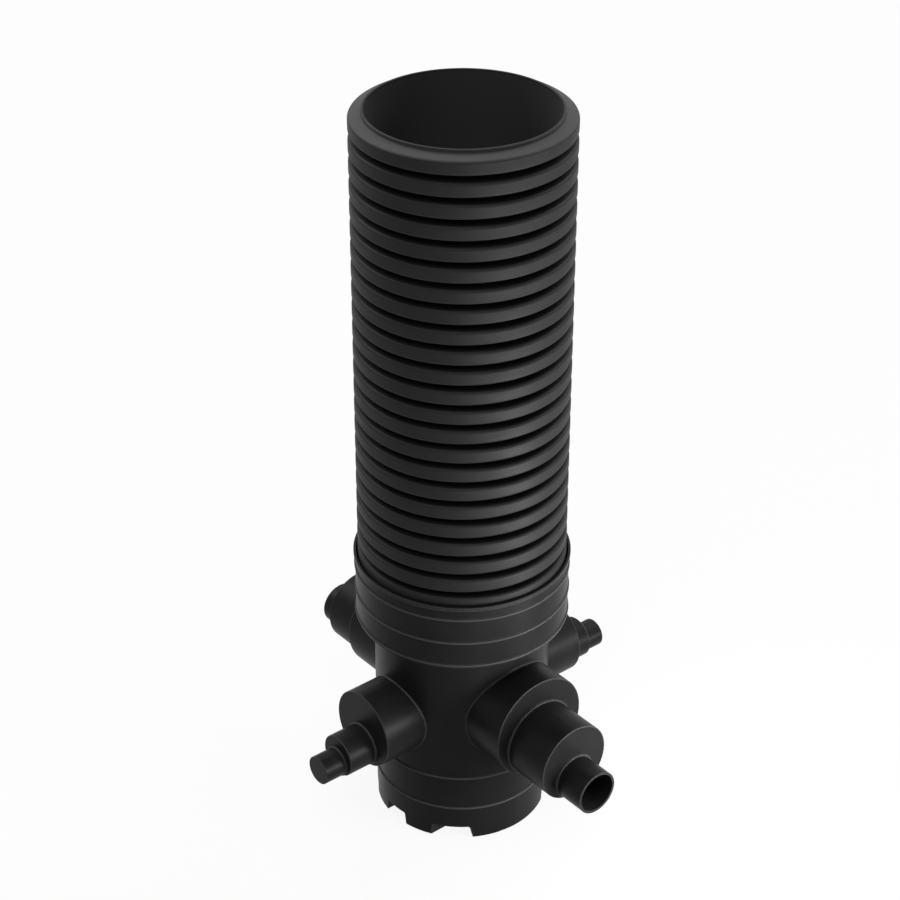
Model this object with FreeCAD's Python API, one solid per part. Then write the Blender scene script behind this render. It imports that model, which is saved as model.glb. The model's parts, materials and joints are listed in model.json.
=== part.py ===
import FreeCAD, Part
import math
import os
from FreeCAD import Vector

# Catchpit chamber: a moulded sump base with four stepped spigots, and a ribbed riser pipe that
# stands on a ledge inside the socket of the base. Millimetres, +Z up. The origin is on the chamber's
# axis, at the underside of the base. The large spigots lie along X and the small ones along Y.

# Riser pipe: a smooth bore, as many ribs as its length holds, and the walls round the hollow in each rib
RISER_LENGTH = 1359.4
RISER_BORE_R = 224.0
VALLEY_WALL = 6.0
RIB_HEIGHT = 30.0
RIB_CREST = 33.2
RIB_FLANK = 7.0
CREST_ROUND = 8.0
VALLEY_FLOOR = 4.6
RIB_WALL = 2.5
LINER_WALL = 2.5
LEAST_END_LIP = 5.0

# Moulded wall and the rounding of its edges
WALL = 6.0
EDGE_ROUND = 2.5
TIP_ROUND = 2.0
JUNCTION_ROUND = 4.0

# Base barrel and socket
SHOULDER_ROOM = 56.0
SOCKET_CLEARANCE = 1.0
LEDGE_DEPTH = 177.0
LEDGE_DROP = 11.0
LEDGE_REVEAL = 8.0
RIM_FLARE = 4.0
RIM_BAND = 8.0
LEAD_IN = 4.0
LEAD_IN_DEPTH = 17.0
FOOT_ROUND = 5.0
FLOOR_ROUND = 4.0

# Raised beads: evenly spaced down the socket to just above the ledge, and two on the barrel below the spigots
BEAD_R = 3.0
BEAD_GROOVE_R = 1.5
SOCKET_BEAD_COUNT = 3
FIRST_BEAD_DEPTH = 38.0
LAST_BEAD_ABOVE_LEDGE = 3.0
BARREL_BEAD_DROP = 45.0
BARREL_BEAD_SPACING = 97.5

# Channels across the underside: the width of the roof, and how much each side leans outwards below it
CHANNEL_WIDTH = 70.0
CHANNEL_LEAN = 5.0
CHANNEL_HEIGHT = 37.0
CHANNEL_SPACING = 149.0
CHANNEL_ROUND = 4.0

# Stepped spigots, from the barrel outwards: the radius and length of each step, and the bead at its root
SPIGOT_INVERT = 242.0
SPIGOT_STEP_RISE = 2.0
ROOT_BEAD_R = 3.0
LARGE_RADII = (135.0, 101.5, 57.5)
LARGE_LENGTHS = (82.0, 132.0, 85.0)
SMALL_RADII = (102.0, 55.0, 37.5)
SMALL_LENGTHS = (100.0, 80.0, 62.0)

# Seal ring and seats
SEAL_CLEARANCE = 0.3
SEAL_BULGE = 3.0
SEAT_GAP = 0.3

# Worked out from the sizes above
VALLEY_R = RISER_BORE_R + VALLEY_WALL
CREST_R = VALLEY_R + RIB_HEIGHT
RIB_WIDTH = RIB_CREST + 2 * RIB_FLANK
RIB_PITCH = RIB_WIDTH + VALLEY_FLOOR
HOLLOW_ROUND = CREST_ROUND - RIB_WALL
RIB_COUNT = int((RISER_LENGTH - 2 * LEAST_END_LIP + VALLEY_FLOOR) / RIB_PITCH)
RISER_END_LIP = (RISER_LENGTH - RIB_COUNT * RIB_PITCH + VALLEY_FLOOR) / 2
SOCKET_R = CREST_R + SOCKET_CLEARANCE
SOCKET_OUTER_R = SOCKET_R + WALL
SUMP_R = RISER_BORE_R - LEDGE_REVEAL
BARREL_R = SUMP_R + WALL
SHOULDER_Z = SPIGOT_INVERT + 2 * LARGE_RADII[0] + SHOULDER_ROOM + LEDGE_DROP
LEDGE_Z = SHOULDER_Z + WALL
BASE_HEIGHT = LEDGE_Z + LEDGE_DEPTH
LEDGE_SLOPE = LEDGE_DROP / (SOCKET_R - SUMP_R)
RISER_Z = LEDGE_Z - LEDGE_SLOPE * (SOCKET_R - VALLEY_R) + SEAT_GAP
TOP_BEAD_Z = BASE_HEIGHT - FIRST_BEAD_DEPTH
BEAD_SPACING = (TOP_BEAD_Z - LEDGE_Z - LAST_BEAD_ABOVE_LEDGE) / (SOCKET_BEAD_COUNT - 1)
SOCKET_BEADS = [TOP_BEAD_Z - index * BEAD_SPACING for index in range(SOCKET_BEAD_COUNT)]
HIGH_BARREL_BEAD = SPIGOT_INVERT - BARREL_BEAD_DROP
BARREL_BEADS = (HIGH_BARREL_BEAD, HIGH_BARREL_BEAD - BARREL_BEAD_SPACING)
CHANNEL_OFFSETS = (-CHANNEL_SPACING, 0.0, CHANNEL_SPACING)
STEP_OVERLAP = 2 * WALL

UP = Vector(0, 0, 1)
AXIS_POINT = Vector(0, 0, 0)
SAME_LENGTH = 0.01


def corner_arc(before, corner, after, rounding):
    """Arc that rounds a corner between two straight sides, as its two ends and its middle."""
    to_before = (before - corner).normalize()
    to_after = (after - corner).normalize()
    half_angle = to_before.getAngle(to_after) / 2
    inward = (to_before + to_after).normalize()
    reach = rounding / math.tan(half_angle)
    middle = corner + inward * (rounding / math.sin(half_angle) - rounding)
    return corner + to_before * reach, middle, corner + to_after * reach


def outline_wire(outline):
    """Closed wire through (radius, height) corners, rounded where a corner has a third number."""
    corners = [Vector(r, 0, z) for r, z, *_ in outline]
    edges = []
    starts = []
    ends = []
    for index, (_, _, *rounding) in enumerate(outline):
        start = end = corners[index]
        if rounding:
            after = corners[(index + 1) % len(corners)]
            start, middle, end = corner_arc(corners[index - 1], corners[index], after, rounding[0])
            edges.append(Part.Arc(start, middle, end).toShape())
        starts.append(start)
        ends.append(end)
    edges += [Part.makeLine(end, start) for end, start in zip(ends, starts[1:] + starts[:1])]
    return Part.Wire(Part.__sortEdges__(edges))


def revolved(outline, hollows=()):
    """Solid of revolution about Z from a closed outline, with closed hollows inside its section."""
    wires = [outline_wire(outline)] + [outline_wire(hollow) for hollow in hollows]
    return Part.makeFace(wires, "Part::FaceMakerBullseye").revolve(AXIS_POINT, UP, 360)


def near(value, target):
    """True where two lengths agree."""
    return abs(value - target) < SAME_LENGTH


def ring_edges(shape, radius, height):
    """Circular edges about Z at one radius and height."""
    flat = [e for e in shape.Edges if near(e.BoundBox.ZLength, 0) and near(e.BoundBox.ZMin, height)]
    return [e for e in flat if isinstance(e.Curve, Part.Circle) and near(e.Curve.Radius, radius)]


def ring_bead(radius, height, bead_radius):
    """Torus about Z, for a bead on a wall or the groove behind it."""
    return Part.makeTorus(radius, bead_radius, Vector(0, 0, height), UP)


def barrel_outside():
    """Outer form of the base without spigots: foot, barrel, shoulder, socket and flared rim."""
    rim_r = SOCKET_OUTER_R + RIM_FLARE
    body = revolved([
        (0, 0),
        (BARREL_R, 0),
        (BARREL_R, SHOULDER_Z - LEDGE_DROP),
        (SOCKET_OUTER_R, SHOULDER_Z),
        (SOCKET_OUTER_R, BASE_HEIGHT - RIM_BAND - RIM_FLARE),
        (rim_r, BASE_HEIGHT - RIM_BAND),
        (rim_r, BASE_HEIGHT),
        (0, BASE_HEIGHT),
    ])
    rounded = body.makeFillet(FOOT_ROUND, ring_edges(body, BARREL_R, 0))
    return rounded.makeFillet(EDGE_ROUND, ring_edges(rounded, SOCKET_OUTER_R, SHOULDER_Z))


def barrel_inside():
    """Hollow of the base without spigots: sump, sloping ledge, socket and lead-in."""
    body = revolved([
        (0, WALL),
        (SUMP_R, WALL),
        (SUMP_R, LEDGE_Z - LEDGE_DROP),
        (SOCKET_R, LEDGE_Z),
        (SOCKET_R, BASE_HEIGHT - LEAD_IN_DEPTH),
        (SOCKET_R + LEAD_IN, BASE_HEIGHT),
        (0, BASE_HEIGHT),
    ])
    return body.makeFillet(FLOOR_ROUND, ring_edges(body, SUMP_R, WALL))


def step_cylinder(radius, start, end, height):
    """Cylinder along +X between two distances from the axis, at a height above the underside."""
    return Part.makeCylinder(radius, end - start, Vector(start, 0, height), Vector(1, 0, 0))


def step_ends(lengths):
    """Distance of each step's outer end from the chamber's axis."""
    return [BARREL_R + sum(lengths[:index + 1]) for index in range(len(lengths))]


def step_height(radii, index):
    """Height of a step's own axis: the steps' undersides rise only a little from one to the next."""
    return SPIGOT_INVERT + index * SPIGOT_STEP_RISE + radii[index]


def rounded_end(step, end, rounding):
    """Rounds the edge at a step's outer end."""
    return step.makeFillet(rounding, [e for e in step.Edges if near(e.BoundBox.XMin, end)])


def root_bead(radius, root, height):
    """Torus about a step, at its root, where a pipe pushed over the step stops."""
    return Part.makeTorus(radius, ROOT_BEAD_R, Vector(root + ROOT_BEAD_R / 2, 0, height), Vector(1, 0, 0))


def spigot_outside(radii, lengths, open_end):
    """Outer form of one spigot: round steps with rounded ends, and a bead round each further step's root."""
    ends = step_ends(lengths)
    forms = []
    start = 0.0
    for index, (radius, end) in enumerate(zip(radii, ends)):
        height = step_height(radii, index)
        step = step_cylinder(radius, start, end, height)
        if end < ends[-1]:
            step = rounded_end(step, end, EDGE_ROUND)
        elif not open_end:
            step = rounded_end(step, end, TIP_ROUND)
        forms.append(step)
        if index:
            forms.append(root_bead(radius, ends[index - 1], height))
        start = end - STEP_OVERLAP
    return forms[0].fuse(forms[1:]).removeSplitter()


def spigot_inside(radii, lengths, open_end):
    """Hollow of one spigot, one wall inside its steps, and through the last end where that is open."""
    ends = step_ends(lengths)
    steps = []
    start = 0.0
    for index, (radius, end) in enumerate(zip(radii, ends)):
        through = open_end and end == ends[-1]
        inner_end = end + WALL if through else end - WALL
        steps.append(step_cylinder(radius - WALL, start, inner_end, step_height(radii, index)))
        start = end - WALL - STEP_OVERLAP
    return steps[0].fuse(steps[1:])


def turned(shape, degrees):
    """Copy of a shape turned about the chamber's axis."""
    copy = shape.copy()
    copy.rotate(AXIS_POINT, UP, degrees)
    return copy


def crossed(large, small):
    """The large form at both ends of X and the small form at both ends of Y."""
    return [turned(large, 0), turned(large, 180), turned(small, 90), turned(small, 270)]


def channels(extra):
    """Channels across the underside, along Y, grown by one wall for the ridges that they make inside."""
    reach = 2 * SOCKET_OUTER_R
    roof = CHANNEL_WIDTH / 2 + extra
    mouth = roof + CHANNEL_LEAN
    height = CHANNEL_HEIGHT + extra
    rounding = CHANNEL_ROUND + extra
    bars = []
    for offset in CHANNEL_OFFSETS:
        outline = [(offset - mouth, -WALL), (offset - mouth, 0), (offset - roof, height, rounding)]
        outline += [(offset + roof, height, rounding), (offset + mouth, 0), (offset + mouth, -WALL)]
        section = Part.Face(outline_wire(outline))
        section.translate(Vector(0, -reach / 2, 0))
        bars.append(section.extrude(Vector(0, reach, 0)))
    return bars


def curved(edge):
    """True for any edge but a straight one."""
    return not isinstance(edge.Curve, (Part.Line, Part.LineSegment))


def junction_edges(shape):
    """Edges where the spigots leave the barrel."""
    found = []
    for edge in shape.Edges:
        box = edge.BoundBox
        middle = edge.valueAt((edge.FirstParameter + edge.LastParameter) / 2)
        on_barrel = near(Vector(middle.x, middle.y, 0).Length, BARREL_R)
        beside_spigot = box.ZMin > SPIGOT_INVERT - WALL and not near(box.ZLength, 0)
        if on_barrel and beside_spigot and curved(edge):
            found.append(edge)
    return found


def catchpit_base():
    """Moulded base: one even wall all round, open at the socket and at the two large spigots."""
    large = spigot_outside(LARGE_RADII, LARGE_LENGTHS, True)
    small = spigot_outside(SMALL_RADII, SMALL_LENGTHS, False)
    outside = barrel_outside().fuse(crossed(large, small)).removeSplitter()
    outside = outside.makeFillet(JUNCTION_ROUND, junction_edges(outside))
    beads = [ring_bead(SOCKET_OUTER_R, height, BEAD_R) for height in SOCKET_BEADS]
    beads += [ring_bead(BARREL_R, height, BEAD_R) for height in BARREL_BEADS]
    outside = outside.fuse(beads).cut(channels(0.0))

    large_hollow = spigot_inside(LARGE_RADII, LARGE_LENGTHS, True)
    small_hollow = spigot_inside(SMALL_RADII, SMALL_LENGTHS, False)
    inside = barrel_inside().cut(channels(WALL)).fuse(crossed(large_hollow, small_hollow))
    grooves = [ring_bead(SOCKET_R, height, BEAD_GROOVE_R) for height in SOCKET_BEADS]
    return outside.cut(inside).cut(grooves).Solids[0]


def rib_half(radius):
    """Half the width of a rib at a radius between the valley and the crest."""
    return RIB_CREST / 2 + RIB_FLANK * (CREST_R - radius) / RIB_HEIGHT


def rib_outside(middle):
    """Corners of a rib's section, with its crest rounded."""
    foot = RIB_WIDTH / 2
    crown = RIB_CREST / 2
    lower = [(VALLEY_R, middle - foot), (CREST_R, middle - crown, CREST_ROUND)]
    upper = [(CREST_R, middle + crown, CREST_ROUND), (VALLEY_R, middle + foot)]
    return lower + upper


def rib_hollow(middle):
    """Corners of the closed hollow in a rib, one wall inside its crest and flanks, and outside the liner."""
    foot_r = RISER_BORE_R + LINER_WALL
    crown_r = CREST_R - RIB_WALL
    foot = RIB_WIDTH / 2 - RIB_WALL
    crown = rib_half(crown_r) - RIB_WALL
    lower = [(foot_r, middle - foot), (crown_r, middle - crown, HOLLOW_ROUND)]
    upper = [(crown_r, middle + crown, HOLLOW_ROUND), (foot_r, middle + foot)]
    return lower + upper


def riser_pipe():
    """Twin-wall riser: a smooth liner, a thin lip at each end, and hollow ribs of one pitch between them."""
    outline = [(RISER_BORE_R, RISER_Z), (VALLEY_R, RISER_Z)]
    hollows = []
    for index in range(RIB_COUNT):
        middle = RISER_Z + RISER_END_LIP + index * RIB_PITCH + RIB_WIDTH / 2
        outline += rib_outside(middle)
        hollows.append(rib_hollow(middle))
    top = RISER_Z + RISER_LENGTH
    outline += [(VALLEY_R, top), (RISER_BORE_R, top)]
    return revolved(outline, hollows)


def riser_seal_ring():
    """Rubber ring in the lowest groove of the riser, shaped to its flanks, that meets the socket wall."""
    middle = RISER_Z + RISER_END_LIP + (RIB_WIDTH + RIB_PITCH) / 2
    inner_r = VALLEY_R + SEAL_CLEARANCE
    shoulder_r = CREST_R - SEAL_BULGE
    crown_r = SOCKET_R - SEAL_CLEARANCE
    inner_half = RIB_PITCH / 2 - rib_half(VALLEY_R) - SEAL_CLEARANCE
    mouth_half = RIB_PITCH / 2 - rib_half(shoulder_r) - SEAL_CLEARANCE
    corners = [(shoulder_r, middle - mouth_half), (inner_r, middle - inner_half)]
    corners += [(inner_r, middle + inner_half), (shoulder_r, middle + mouth_half)]
    points = [Vector(r, 0, z) for r, z in corners]
    sides = [Part.makeLine(a, b) for a, b in zip(points, points[1:])]
    crown = Part.Arc(points[-1], Vector(crown_r, 0, middle), points[0]).toShape()
    return Part.Face(Part.Wire(sides + [crown])).revolve(AXIS_POINT, UP, 360)


os.makedirs("parts", exist_ok=True)
NODES = {
    "catchpit_base": catchpit_base(),
    "riser_pipe": riser_pipe(),
    "riser_seal_ring": riser_seal_ring(),
}
for name, shape in NODES.items():
    shape.exportStep("parts/" + name + ".step")
    print(name, "solids", len(shape.Solids), "valid", shape.isValid(), "cm3", round(shape.Volume / 1000))
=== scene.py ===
import bpy
import bmesh
import json
import math
from mathutils import Euler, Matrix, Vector

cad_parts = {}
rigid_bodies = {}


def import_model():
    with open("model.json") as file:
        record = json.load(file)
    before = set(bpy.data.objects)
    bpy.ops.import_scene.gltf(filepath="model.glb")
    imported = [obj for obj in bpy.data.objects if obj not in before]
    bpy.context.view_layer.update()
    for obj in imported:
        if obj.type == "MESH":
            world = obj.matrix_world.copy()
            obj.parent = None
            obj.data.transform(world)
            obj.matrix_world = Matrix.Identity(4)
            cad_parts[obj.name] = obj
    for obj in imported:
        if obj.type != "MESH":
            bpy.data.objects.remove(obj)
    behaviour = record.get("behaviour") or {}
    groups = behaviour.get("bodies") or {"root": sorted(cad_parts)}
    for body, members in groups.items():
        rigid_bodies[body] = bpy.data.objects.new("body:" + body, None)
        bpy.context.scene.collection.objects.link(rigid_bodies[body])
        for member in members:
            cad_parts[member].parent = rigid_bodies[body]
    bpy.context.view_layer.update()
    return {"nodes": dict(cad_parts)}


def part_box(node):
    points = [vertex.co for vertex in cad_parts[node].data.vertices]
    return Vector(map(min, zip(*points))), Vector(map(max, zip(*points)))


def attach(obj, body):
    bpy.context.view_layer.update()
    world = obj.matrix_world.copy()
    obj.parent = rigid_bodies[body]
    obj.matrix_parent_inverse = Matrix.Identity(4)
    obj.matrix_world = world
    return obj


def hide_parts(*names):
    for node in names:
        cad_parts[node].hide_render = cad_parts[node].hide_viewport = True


# Catchpit chamber: the moulded base and the seal ring keep their CAD solids, and the ribbed riser is
# turned here as one fine mesh in the same form. Metres, +Z up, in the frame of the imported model.

for old in list(bpy.data.objects):
    bpy.data.objects.remove(old)
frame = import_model()

# Riser, as in the solid
BORE_R = 0.224
VALLEY_R = 0.230
CREST_R = 0.260
RIB_COUNT = 26
RIB_CREST = 0.0332
RIB_FLANK = 0.007
VALLEY_FLOOR = 0.0046
END_LIP = 0.0086
CREST_ROUND = 0.008
ROOT_ROUND = 0.0015
LIP_ROUND = 0.001

# Fineness of the riser's mesh
RISER_SEGMENTS = 144
BORE_RINGS = 24
SMALL_ROUND_STEPS = 2
CREST_ROUND_STEPS = 6

# Riser's painted light and shade: painted shade deep in its grooves, painted light in its bore and on its
# upper end
GROOVE_SHADE_DEPTH = 0.009
HEIGHT_FADE = 0.004
GROOVE_PAINTED_SHADE = (0.006, 0.006, 0.006)
BORE_PAINTED_LIGHT = (0.042, 0.042, 0.0423)
UPPER_END_PAINTED_LIGHT = (0.042, 0.042, 0.0423)

# Base, as in the solid: the walls that carry beads, and where the spigots stand clear of them
BARREL_R = 0.222
SOCKET_R = 0.267
SOCKET_FROM = 0.54
SPIGOT_FROM = 0.234

# Lines on the base, part rubbed wear and part painted highlight: how far out of its wall a bead's line
# starts, and how far an edge has turned where its line lies
BEAD_LINE_FROM = 0.0019
BARREL_BEAD_TO = 0.004
SOCKET_BEAD_TO = 0.0032
LINE_FADE = 0.001
EDGE_TURN_FROM = 0.45
EDGE_TURN_TO = 0.80
EDGE_TURN_FADE = 0.1
RUBBED_AND_HIGHLIGHT_BLACK = (0.042, 0.042, 0.042)

# Worn edges, part wear and part painted highlight: how near an edge they reach, and the cosines of the
# rounded normal's turn where the paler edge starts and is full
WEAR_AND_HIGHLIGHT_REACH = 0.005
WEAR_AND_HIGHLIGHT_SAMPLES = 6
WEAR_AND_HIGHLIGHT_STARTS = 0.995
WEAR_AND_HIGHLIGHT_FULL = 0.90
LEAST_WEAR_AND_HIGHLIGHT = 0.5

# Noise fields: grains a metre, detail and roughness, then the span that most of their values lie in
CLOUD = (9, 4, 0.55)
FLOW = (1, 3, 0.6)
RIPPLE = (70, 2, 0.4)
GRAIN = (900, 2, 0.5)
BLOOM = (40, 5, 0.6)
RUBBER_GRAIN = (1800, 2, 0.5)
USUAL_SPAN = (0.3, 0.7)
FLOW_TONE_SPAN = (0.25, 0.75)
CLOUD_WEAR_AND_HIGHLIGHT_SPAN = (0.25, 0.6)
LEAST_FLOW_TONE = 0.5
GRAIN_ROUGHNESS = 0.03

# Bumps: height and strength
RIPPLE_BUMP = (0.0006, 0.12)
GRAIN_BUMP = (0.00008, 0.5)
RUBBER_BUMP = (0.00005, 0.6)

# Seal rubber
RUBBER_BLACK = (0.008, 0.008, 0.008)
RUBBER_BLOOM = (0.02, 0.02, 0.019)
RUBBER_ROUGHNESS = (0.68, 0.85)
RUBBER_GLOSS = 0.25

# Scales of the row's own coordinates
UNSTRETCHED = (1, 1, 1)
FLATTENED = (1, 1, 0)

# Camera: the photograph's own place, aimed at the joined part
CAMERA_AT = (3.640, -3.019, 3.951)
CAMERA_YAW = 50.69
CAMERA_PITCH = 31.60
CAMERA_LENS = 91.4

# Floor, and the fill light from all round
FLOOR_HALF = 30.0
FLOOR_WHITE_SHARE = 0.9
FLOOR_SEEN = 0.60
FLOOR_BOUNCE = 0.14
FILL_LIGHT = 0.10
SHEET_HEIGHT = 0.02


def rounded(before, corner, after, radius, steps):
    """Points along the arc that rounds one corner of an outline."""
    to_before = (before - corner).normalized()
    to_after = (after - corner).normalized()
    half = to_before.angle(to_after) / 2
    inward = (to_before + to_after).normalized()
    centre = corner + inward * (radius / math.sin(half))
    start = corner + to_before * (radius / math.tan(half)) - centre
    end = corner + to_after * (radius / math.tan(half)) - centre
    sweep = math.atan2(start.x * end.y - start.y * end.x, start.dot(end))
    points = []
    for step in range(steps + 1):
        angle = sweep * step / steps
        turned = Vector((
            start.x * math.cos(angle) - start.y * math.sin(angle),
            start.x * math.sin(angle) + start.y * math.cos(angle),
        ))
        points.append(centre + turned)
    return points


def rounded_outline(corners):
    """Closed outline from (radius, height, rounding, steps) corners, each rounded where it says so."""
    outline = []
    places = [Vector((r, z)) for r, z, _, _ in corners]
    for index, (_, _, rounding, steps) in enumerate(corners):
        before = places[index - 1]
        after = places[(index + 1) % len(places)]
        if rounding:
            outline += rounded(before, places[index], after, rounding, steps)
        else:
            outline.append(places[index])
    return outline


def riser_outline(low, high):
    """Section of the riser from its lower end to its upper end, with the bore as the last side."""
    corners = [
        (BORE_R, low, LIP_ROUND, SMALL_ROUND_STEPS),
        (VALLEY_R, low, LIP_ROUND, SMALL_ROUND_STEPS),
    ]
    foot = low + END_LIP
    for _ in range(RIB_COUNT):
        crest_low = foot + RIB_FLANK
        crest_high = crest_low + RIB_CREST
        head = crest_high + RIB_FLANK
        corners += [
            (VALLEY_R, foot, ROOT_ROUND, SMALL_ROUND_STEPS),
            (CREST_R, crest_low, CREST_ROUND, CREST_ROUND_STEPS),
            (CREST_R, crest_high, CREST_ROUND, CREST_ROUND_STEPS),
            (VALLEY_R, head, ROOT_ROUND, SMALL_ROUND_STEPS),
        ]
        foot = head + VALLEY_FLOOR
    corners += [
        (VALLEY_R, high, LIP_ROUND, SMALL_ROUND_STEPS),
        (BORE_R, high, LIP_ROUND, SMALL_ROUND_STEPS),
    ]
    for ring in range(1, BORE_RINGS):
        corners.append((BORE_R, high + (low - high) * ring / BORE_RINGS, 0, 0))
    return rounded_outline(corners)


def turned_mesh(name, outline, segments):
    """Closed solid of revolution about Z from a closed outline of (radius, height) points."""
    vertices = []
    for r, z in outline:
        for segment in range(segments):
            angle = 2 * math.pi * segment / segments
            vertices.append((r * math.cos(angle), r * math.sin(angle), z))
    faces = []
    rings = len(outline)
    for ring in range(rings):
        above = (ring + 1) % rings
        for segment in range(segments):
            beside = (segment + 1) % segments
            faces.append((
                ring * segments + segment,
                ring * segments + beside,
                above * segments + beside,
                above * segments + segment,
            ))
    mesh = bpy.data.meshes.new(name)
    mesh.from_pydata(vertices, [], faces)
    work = bmesh.new()
    work.from_mesh(mesh)
    bmesh.ops.recalc_face_normals(work, faces=work.faces)
    work.to_mesh(mesh)
    work.free()
    mesh.polygons.foreach_set("use_smooth", [True] * len(mesh.polygons))
    piece = bpy.data.objects.new(name, mesh)
    bpy.context.scene.collection.objects.link(piece)
    weighted = piece.modifiers.new("even_normals", "WEIGHTED_NORMAL")
    weighted.keep_sharp = True
    return piece


def new_material(name):
    """Node material with its tree and its shader."""
    material = bpy.data.materials.new(name)
    material.use_nodes = True
    return material, material.node_tree, material.node_tree.nodes["Principled BSDF"]


def stretched(tree, scale):
    """The row's own coordinates, stretched along each axis."""
    coordinates = tree.nodes.new("ShaderNodeTexCoord")
    mapping = tree.nodes.new("ShaderNodeMapping")
    mapping.inputs["Scale"].default_value = scale
    tree.links.new(coordinates.outputs["Object"], mapping.inputs["Vector"])
    return mapping.outputs["Vector"]


def noise(tree, vector, scale, detail, roughness):
    """Noise from 0 to 1 at so many grains a metre."""
    node = tree.nodes.new("ShaderNodeTexNoise")
    node.inputs["Scale"].default_value = scale
    node.inputs["Detail"].default_value = detail
    node.inputs["Roughness"].default_value = roughness
    tree.links.new(vector, node.inputs["Vector"])
    return node.outputs["Fac"]


def ranged(tree, value, from_low, from_high, to_low, to_high):
    """A value moved from one range to another, held at both ends."""
    node = tree.nodes.new("ShaderNodeMapRange")
    node.inputs["From Min"].default_value = from_low
    node.inputs["From Max"].default_value = from_high
    node.inputs["To Min"].default_value = to_low
    node.inputs["To Max"].default_value = to_high
    tree.links.new(value, node.inputs["Value"])
    return node.outputs["Result"]


def math_of(tree, operation, first, second):
    """Two values joined by one operation."""
    node = tree.nodes.new("ShaderNodeMath")
    node.operation = operation
    tree.links.new(first, node.inputs[0])
    tree.links.new(second, node.inputs[1])
    return node.outputs["Value"]


def blended(tree, share, first, second):
    """Colour between two by a share, each a plain colour or what another node gives."""
    node = tree.nodes.new("ShaderNodeMix")
    node.data_type = "RGBA"
    for name, colour in (("A", first), ("B", second)):
        if isinstance(colour, bpy.types.NodeSocket):
            tree.links.new(colour, node.inputs[name])
        else:
            node.inputs[name].default_value = (*colour, 1)
    tree.links.new(share, node.inputs["Factor"])
    return node.outputs["Result"]


def bumped(tree, height, distance, strength, onto=None):
    """Surface normal with a height field on it, over an earlier one where given."""
    node = tree.nodes.new("ShaderNodeBump")
    node.inputs["Distance"].default_value = distance
    node.inputs["Strength"].default_value = strength
    tree.links.new(height, node.inputs["Height"])
    if onto is not None:
        tree.links.new(onto, node.inputs["Normal"])
    return node.outputs["Normal"]


def edge_wear_and_highlight(tree):
    """Share from 0 on open surface to 1 along sharp edges, from how far a rounded normal turns."""
    bevel = tree.nodes.new("ShaderNodeBevel")
    bevel.samples = WEAR_AND_HIGHLIGHT_SAMPLES
    bevel.inputs["Radius"].default_value = WEAR_AND_HIGHLIGHT_REACH
    geometry = tree.nodes.new("ShaderNodeNewGeometry")
    turn = tree.nodes.new("ShaderNodeVectorMath")
    turn.operation = "DOT_PRODUCT"
    tree.links.new(bevel.outputs["Normal"], turn.inputs[0])
    tree.links.new(geometry.outputs["Normal"], turn.inputs[1])
    return ranged(tree, turn.outputs["Value"], WEAR_AND_HIGHLIGHT_STARTS, WEAR_AND_HIGHLIGHT_FULL, 0, 1)


def band_share(tree, value, low, high, fade):
    """Share of 1 where a value lies between two limits, fading to 0 just outside them."""
    from_below = ranged(tree, value, low - fade, low, 0, 1)
    from_above = ranged(tree, value, high, high + fade, 1, 0)
    return math_of(tree, "MULTIPLY", from_below, from_above)


def axis_parts(tree, output):
    """The three sizes, without sign, of the row's own coordinates or of the surface normal."""
    coordinates = tree.nodes.new("ShaderNodeTexCoord")
    plain = tree.nodes.new("ShaderNodeVectorMath")
    plain.operation = "ABSOLUTE"
    split = tree.nodes.new("ShaderNodeSeparateXYZ")
    tree.links.new(coordinates.outputs[output], plain.inputs[0])
    tree.links.new(plain.outputs["Vector"], split.inputs["Vector"])
    return split.outputs


def axis_distance(tree):
    """Distance of a point from the part's axis."""
    radius = tree.nodes.new("ShaderNodeVectorMath")
    radius.operation = "LENGTH"
    tree.links.new(stretched(tree, FLATTENED), radius.inputs[0])
    return radius.outputs["Value"]


def below_share(tree, height):
    """1 below a height and 0 above it."""
    split = tree.nodes.new("ShaderNodeSeparateXYZ")
    tree.links.new(stretched(tree, UNSTRETCHED), split.inputs["Vector"])
    return ranged(tree, split.outputs["Z"], height - HEIGHT_FADE, height, 1, 0)


def bead_share(tree, radius, wall, reach):
    """Share of 1 on what stands out of a wall as far as a bead does."""
    return band_share(tree, radius, wall + BEAD_LINE_FROM, wall + reach, LINE_FADE)


def rubbed_and_highlight_lines(tree):
    """Share of 1 along the base's beads, the edges and roots of its spigots' steps, and their junctions,
    for paler lines that are part rubbed wear and part painted highlight.
    """
    place = axis_parts(tree, "Object")
    facing = axis_parts(tree, "Normal")
    radius = axis_distance(tree)
    socket = ranged(tree, place["Z"], SOCKET_FROM, SOCKET_FROM + LINE_FADE, 0, 1)
    below = ranged(tree, place["Z"], SOCKET_FROM, SOCKET_FROM + LINE_FADE, 1, 0)
    rubbed_and_highlight = bead_share(tree, radius, BARREL_R, BARREL_BEAD_TO)
    socket_beads = math_of(tree, "MULTIPLY", bead_share(tree, radius, SOCKET_R, SOCKET_BEAD_TO), socket)
    rubbed_and_highlight = math_of(tree, "MAXIMUM", rubbed_and_highlight, socket_beads)
    for axis in "XY":
        clear = ranged(tree, place[axis], SPIGOT_FROM, SPIGOT_FROM + LINE_FADE, 0, 1)
        turning = band_share(tree, facing[axis], EDGE_TURN_FROM, EDGE_TURN_TO, EDGE_TURN_FADE)
        edges = math_of(tree, "MULTIPLY", math_of(tree, "MULTIPLY", turning, clear), below)
        rubbed_and_highlight = math_of(tree, "MAXIMUM", rubbed_and_highlight, edges)
    return rubbed_and_highlight


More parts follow.
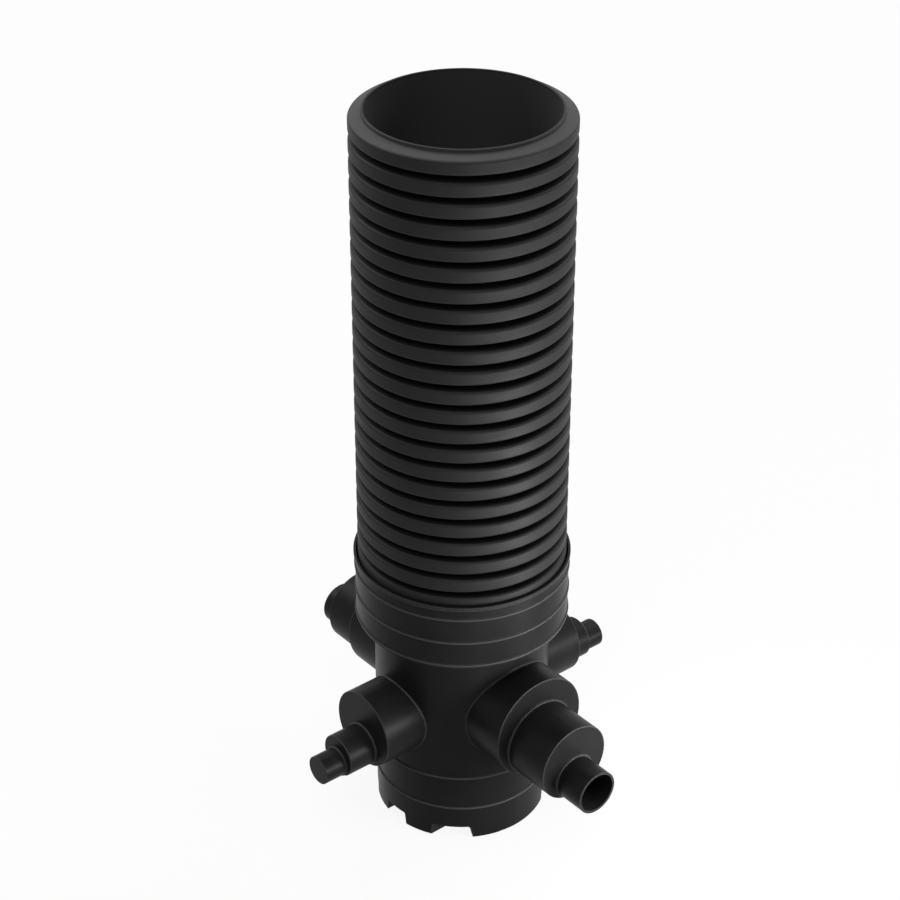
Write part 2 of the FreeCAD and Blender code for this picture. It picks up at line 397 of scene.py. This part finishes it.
def groove_painted_shade_share(tree, open_above):
    """Painted shade: share from 0 on the riser's crests, upper end and bore to 1 deep in its grooves."""
    radius = axis_distance(tree)
    deep = ranged(tree, radius, CREST_R, CREST_R - GROOVE_SHADE_DEPTH, 0, 1)
    off_bore = ranged(tree, radius, BORE_R, VALLEY_R, 0, 1)
    groove = math_of(tree, "MULTIPLY", deep, off_bore)
    return math_of(tree, "MULTIPLY", groove, below_share(tree, open_above))


def upper_end_painted_light_share(tree, open_above):
    """Painted light: share from 0 on most of the riser to 1 on the slope and collar at its upper end."""
    off_lip = ranged(tree, axis_distance(tree), VALLEY_R - LIP_ROUND, VALLEY_R, 0, 1)
    above = ranged(tree, below_share(tree, open_above), 0, 1, 1, 0)
    return math_of(tree, "MULTIPLY", off_lip, above)


def bore_painted_light_share(tree, lip):
    """Painted light: share from 1 on the riser's bore below its lip to 0 on the rest."""
    inside = ranged(tree, axis_distance(tree), BORE_R, (BORE_R + VALLEY_R) / 2, 1, 0)
    return math_of(tree, "MULTIPLY", inside, below_share(tree, lip))


def black_plastic(name, dark, light, worn_and_highlit, rough_low, rough_high, gloss, streak_scale):
    """Black polyethylene: cloudy black, fine moulded grain, soft flow streaks and paler edges that are part
    wear and part painted highlight.
    """
    material, tree, shader = new_material(name)
    plain = stretched(tree, UNSTRETCHED)
    cloud = noise(tree, plain, *CLOUD)
    flow = noise(tree, stretched(tree, streak_scale), *FLOW)
    grain = noise(tree, plain, *GRAIN)
    ripple = noise(tree, plain, *RIPPLE)

    streaks = ranged(tree, flow, *FLOW_TONE_SPAN, LEAST_FLOW_TONE, 1)
    tone = math_of(tree, "MULTIPLY", ranged(tree, cloud, *USUAL_SPAN, 0, 1), streaks)
    patches = ranged(tree, cloud, *CLOUD_WEAR_AND_HIGHLIGHT_SPAN, LEAST_WEAR_AND_HIGHLIGHT, 1)
    wear_and_highlight = math_of(tree, "MULTIPLY", edge_wear_and_highlight(tree), patches)
    # paler edges: part wear, part painted highlight
    skin = blended(tree, wear_and_highlight, blended(tree, tone, dark, light), worn_and_highlit)
    tree.links.new(skin, shader.inputs["Base Color"])

    satin = ranged(tree, flow, *USUAL_SPAN, rough_low, rough_high)
    speckle = ranged(tree, grain, *USUAL_SPAN, -GRAIN_ROUGHNESS, GRAIN_ROUGHNESS)
    tree.links.new(math_of(tree, "ADD", satin, speckle), shader.inputs["Roughness"])
    shader.inputs["Specular IOR Level"].default_value = gloss

    normal = bumped(tree, ripple, *RIPPLE_BUMP)
    normal = bumped(tree, grain, *GRAIN_BUMP, onto=normal)
    tree.links.new(normal, shader.inputs["Normal"])
    return material


def overlaid(material, share, colour):
    """Lays a colour over a material's own by a share."""
    tree = material.node_tree
    shader = tree.nodes["Principled BSDF"]
    skin = shader.inputs["Base Color"].links[0].from_socket
    tree.links.new(blended(tree, share, skin, colour), shader.inputs["Base Color"])


def rubber(name):
    """Seal rubber: dull black with a fine matt bloom."""
    material, tree, shader = new_material(name)
    plain = stretched(tree, UNSTRETCHED)
    bloom = noise(tree, plain, *BLOOM)
    grain = noise(tree, plain, *RUBBER_GRAIN)
    tree.links.new(blended(tree, bloom, RUBBER_BLACK, RUBBER_BLOOM), shader.inputs["Base Color"])
    tree.links.new(ranged(tree, bloom, *USUAL_SPAN, *RUBBER_ROUGHNESS), shader.inputs["Roughness"])
    tree.links.new(bumped(tree, grain, *RUBBER_BUMP), shader.inputs["Normal"])
    shader.inputs["Specular IOR Level"].default_value = RUBBER_GLOSS
    return material


def give(piece, material):
    """Makes a material a piece's only one."""
    piece.data.materials.clear()
    piece.data.materials.append(material)


def outward(azimuth):
    """Level direction away from the part's axis, at an angle in degrees from -Y round towards +X."""
    return Vector((math.sin(math.radians(azimuth)), -math.cos(math.radians(azimuth)), 0))


def soft_sun(name, azimuth, elevation, spread, level):
    """Wide even light: level 1 makes a white card that faces it about white."""
    lamp = bpy.data.lights.new(name, "SUN")
    lamp.angle = math.radians(spread)
    lamp.energy = math.pi * level
    holder = bpy.data.objects.new(name, lamp)
    flat = math.cos(math.radians(elevation))
    towards = outward(azimuth) * flat + Vector((0, 0, math.sin(math.radians(elevation))))
    holder.rotation_euler = towards.to_track_quat("Z", "Y").to_euler()
    bpy.context.scene.collection.objects.link(holder)


def area_lamp(name, width, height, brightness):
    """Soft rectangular lamp that the camera doesn't see, with a face as bright at any size."""
    lamp = bpy.data.lights.new(name, "AREA")
    lamp.shape = "RECTANGLE"
    lamp.size = width
    lamp.size_y = height
    lamp.energy = brightness * math.pi * width * height
    holder = bpy.data.objects.new(name, lamp)
    holder.visible_camera = False
    bpy.context.scene.collection.objects.link(holder)
    return holder


def softbox(name, azimuth, distance, middle, width, height, brightness):
    """Standing soft lamp that faces the part's axis."""
    holder = area_lamp(name, width, height, brightness)
    holder.location = outward(azimuth) * distance + Vector((0, 0, middle))
    holder.rotation_euler = outward(azimuth).to_track_quat("Z", "Y").to_euler()


def light_sheet(name, azimuth, nearest, furthest, width, brightness):
    """Soft lamp that lies on the floor beside the part and faces up, from one distance to another."""
    holder = area_lamp(name, width, furthest - nearest, brightness)
    holder.location = outward(azimuth) * (nearest + furthest) / 2 + Vector((0, 0, SHEET_HEIGHT))
    holder.rotation_euler = Euler((math.pi, 0, math.radians(azimuth)))


def seen_by_eye(tree):
    """1 for rays that the camera sends, straight or by a reflection or through glass, and 0 for light."""
    path = tree.nodes.new("ShaderNodeLightPath")
    seen = math_of(tree, "MAXIMUM", path.outputs["Is Camera Ray"], path.outputs["Is Glossy Ray"])
    return math_of(tree, "MAXIMUM", seen, path.outputs["Is Transmission Ray"])


def white_world():
    """White to the camera and in reflections, and a plain soft fill for the rest."""
    world = bpy.data.worlds.new("studio")
    world.use_nodes = True
    tree = world.node_tree
    tree.nodes.clear()
    mix = tree.nodes.new("ShaderNodeMixShader")
    tree.links.new(seen_by_eye(tree), mix.inputs["Fac"])
    for place, strength in ((1, FILL_LIGHT), (2, 1.0)):
        background = tree.nodes.new("ShaderNodeBackground")
        background.inputs["Color"].default_value = (1, 1, 1, 1)
        background.inputs["Strength"].default_value = strength
        tree.links.new(background.outputs["Background"], mix.inputs[place])
    output = tree.nodes.new("ShaderNodeOutputWorld")
    tree.links.new(mix.outputs["Shader"], output.inputs["Surface"])
    bpy.context.scene.world = world


def pale_floor():
    """Plain pale floor under the base: white to the eye, with the part's shadow."""
    mesh = bpy.data.meshes.new("floor")
    h = FLOOR_HALF
    mesh.from_pydata([(-h, -h, 0), (h, -h, 0), (h, h, 0), (-h, h, 0)], [], [(0, 1, 2, 3)])
    floor = bpy.data.objects.new("floor", mesh)
    bpy.context.scene.collection.objects.link(floor)
    material, tree, shader = new_material("floor_white")
    seen = seen_by_eye(tree)
    tone = blended(tree, seen, (FLOOR_BOUNCE,) * 3, (FLOOR_SEEN,) * 3)
    tree.links.new(tone, shader.inputs["Base Color"])
    shader.inputs["Roughness"].default_value = 1.0
    shader.inputs["Specular IOR Level"].default_value = 0.0
    white = tree.nodes.new("ShaderNodeEmission")
    mix = tree.nodes.new("ShaderNodeMixShader")
    tree.links.new(ranged(tree, seen, 0, 1, 0, FLOOR_WHITE_SHARE), mix.inputs["Fac"])
    tree.links.new(shader.outputs["BSDF"], mix.inputs[1])
    tree.links.new(white.outputs["Emission"], mix.inputs[2])
    tree.links.new(mix.outputs["Shader"], tree.nodes["Material Output"].inputs["Surface"])
    give(floor, material)


# Base and seal ring: the solids with their materials
base_black = black_plastic(
    "base_black", dark=(0.006, 0.006, 0.0061), light=(0.010, 0.010, 0.0102), worn_and_highlit=(0.034, 0.034, 0.034),
    rough_low=0.34, rough_high=0.42, gloss=0.065, streak_scale=(9, 9, 3))
# paler lines along the base's beads and step edges: part rubbed wear, part painted highlight
overlaid(base_black, rubbed_and_highlight_lines(base_black.node_tree), RUBBED_AND_HIGHLIGHT_BLACK)
give(frame["nodes"]["catchpit_base"], base_black)
give(frame["nodes"]["riser_seal_ring"], rubber("seal_black"))

# Riser: the fine mesh between the ends of its solid
riser_low, riser_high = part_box("riser_pipe")
riser_black = black_plastic(
    "riser_black", dark=(0.009, 0.009, 0.0091), light=(0.013, 0.013, 0.0132), worn_and_highlit=(0.02, 0.02, 0.02),
    rough_low=0.50, rough_high=0.60, gloss=0.12, streak_scale=(4, 4, 60))
riser_nodes = riser_black.node_tree
open_above = riser_high.z - END_LIP - RIB_FLANK
# painted shade: the riser is coloured darker where its surface lies deep in the grooves
overlaid(riser_black, groove_painted_shade_share(riser_nodes, open_above), GROOVE_PAINTED_SHADE)
# painted light: the slope and collar at the riser's upper end are coloured paler, as if lit from above
overlaid(riser_black, upper_end_painted_light_share(riser_nodes, open_above), UPPER_END_PAINTED_LIGHT)
# painted light: the bore below the lip is coloured paler, standing in for light reaching inside
overlaid(riser_black, bore_painted_light_share(riser_nodes, riser_high.z - LIP_ROUND), BORE_PAINTED_LIGHT)
riser = turned_mesh("riser_ribbed_pipe", riser_outline(riser_low.z, riser_high.z), RISER_SEGMENTS)
give(riser, riser_black)
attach(riser, "root")
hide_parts("riser_pipe")

# Studio: floor, fill and lamps, which stand at angles from the camera's own
pale_floor()
white_world()
softbox("key", CAMERA_YAW + 54, distance=1.25, middle=0.50, width=0.45, height=0.36, brightness=38.0)
softbox("right", CAMERA_YAW + 78, distance=4.0, middle=0.40, width=1.2, height=0.7, brightness=22.0)
light_sheet("near_sheet", CAMERA_YAW + 36, nearest=1.5, furthest=2.6, width=1.6, brightness=6.5)
light_sheet("far_sheet", CAMERA_YAW + 36, nearest=2.6, furthest=5.6, width=3.0, brightness=8.5)
soft_sun("front", CAMERA_YAW - 15, elevation=62, spread=40, level=0.45)
soft_sun("back_left", CAMERA_YAW - 125, elevation=35, spread=30, level=0.42)
soft_sun("back_right", CAMERA_YAW + 125, elevation=35, spread=30, level=0.42)
soft_sun("back", CAMERA_YAW - 175, elevation=66, spread=40, level=0.42)

camera = bpy.data.objects.new("camera", bpy.data.cameras.new("camera"))
camera.data.lens = CAMERA_LENS
camera.location = CAMERA_AT
camera.rotation_euler = Euler((math.radians(90 - CAMERA_PITCH), 0, math.radians(CAMERA_YAW)))
bpy.context.scene.collection.objects.link(camera)
bpy.context.scene.camera = camera
bpy.context.scene.view_settings.view_transform = "Standard"
